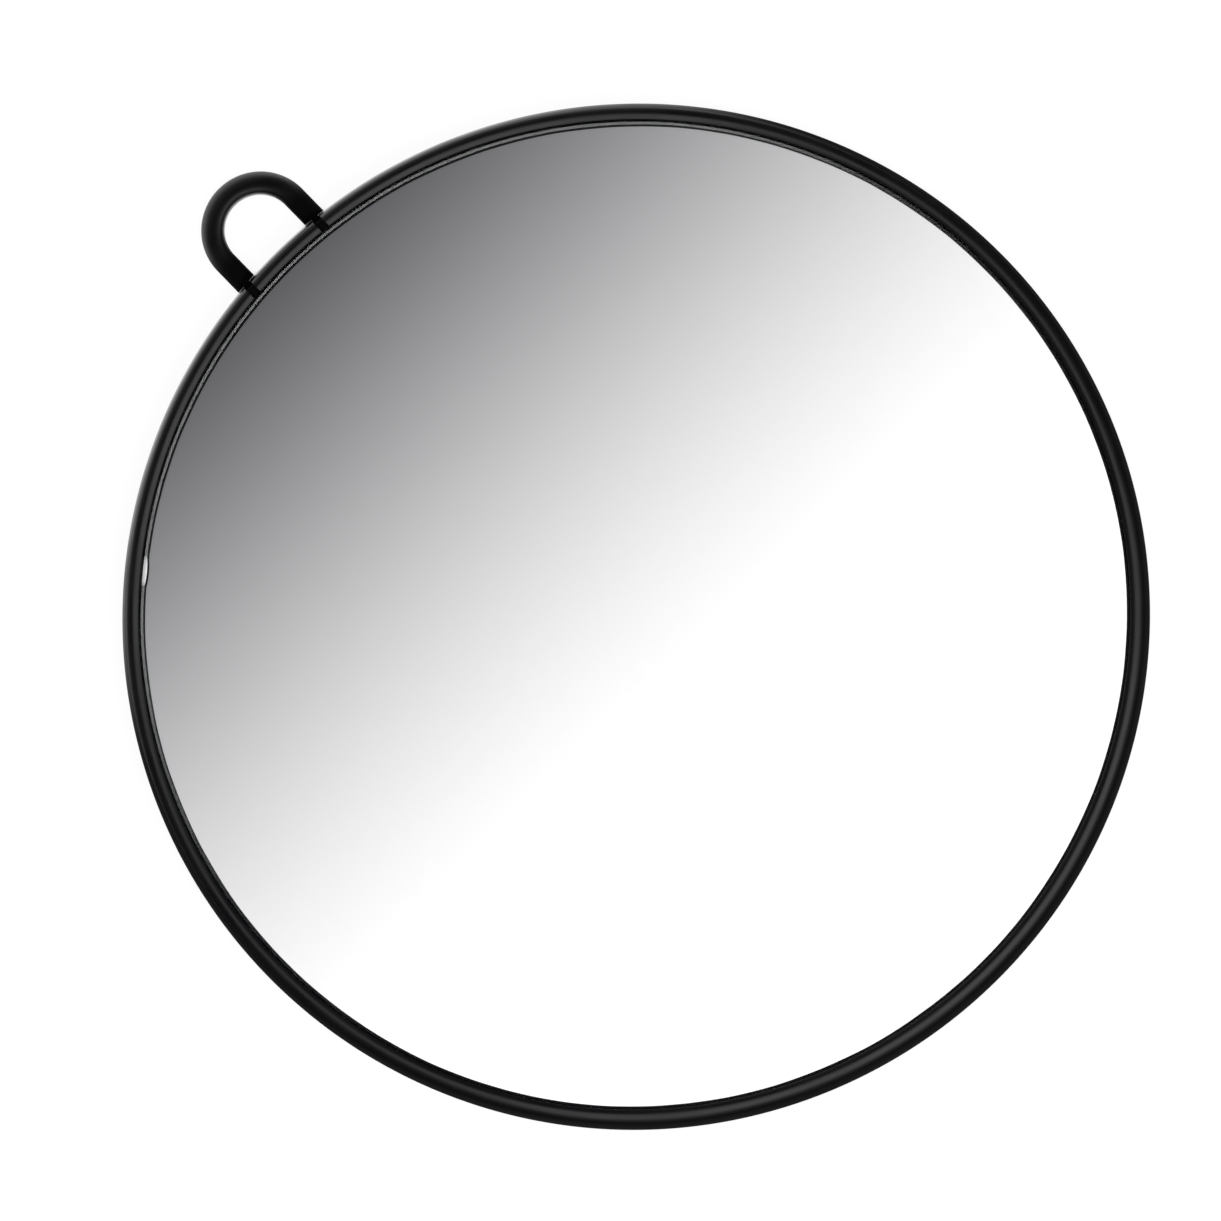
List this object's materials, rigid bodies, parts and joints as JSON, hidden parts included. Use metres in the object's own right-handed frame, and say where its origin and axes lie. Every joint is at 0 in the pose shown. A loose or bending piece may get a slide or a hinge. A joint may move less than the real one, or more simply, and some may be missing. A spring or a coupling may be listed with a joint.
{
  "type": "round framed mirror",
  "caption": "Round flat mirror in a slim black plastic frame with a round rim; a pinned hanging loop at its edge folds flat over the glass. Hangs on a hook or lies on its back.",
  "frame": {"origin": "middle of the flat back face, on which the mirror lies", "axes": "+Z out of the mirror's front, square to the glass; +Y from the middle towards the hanging loop; +X along the loop's hinge pin"},
  "size_m": [0.25, 0.2713, 0.0086],
  "materials": {
    "frame_plastic": "satin",
    "cover_plastic": "matte",
    "loop_plastic": "satin",
    "tape_foam": "matte",
    "pad_foam": "matte",
    "silver": "polished",
    "clear_glass": "polished",
    "pin_steel": "satin"
  },
  "bodies": {
    "mirror": {"front_frame": "frame_plastic", "back_cover": "cover_plastic", "tape_ring": "tape_foam", "foam_pad": "pad_foam", "silver_coating": "silver", "mirror_glass": "clear_glass", "hinge_pin": "pin_steel"},
    "loop": {"hanging_loop": "loop_plastic"}
  },
  "joints": [
    {"name": "loop_fold", "type": "hinge", "parent": "mirror", "child": "loop", "pos_m": [0, 0.1214, 0.0057], "axis": [1, 0, 0], "range_deg": [0, 180]}
  ]
}
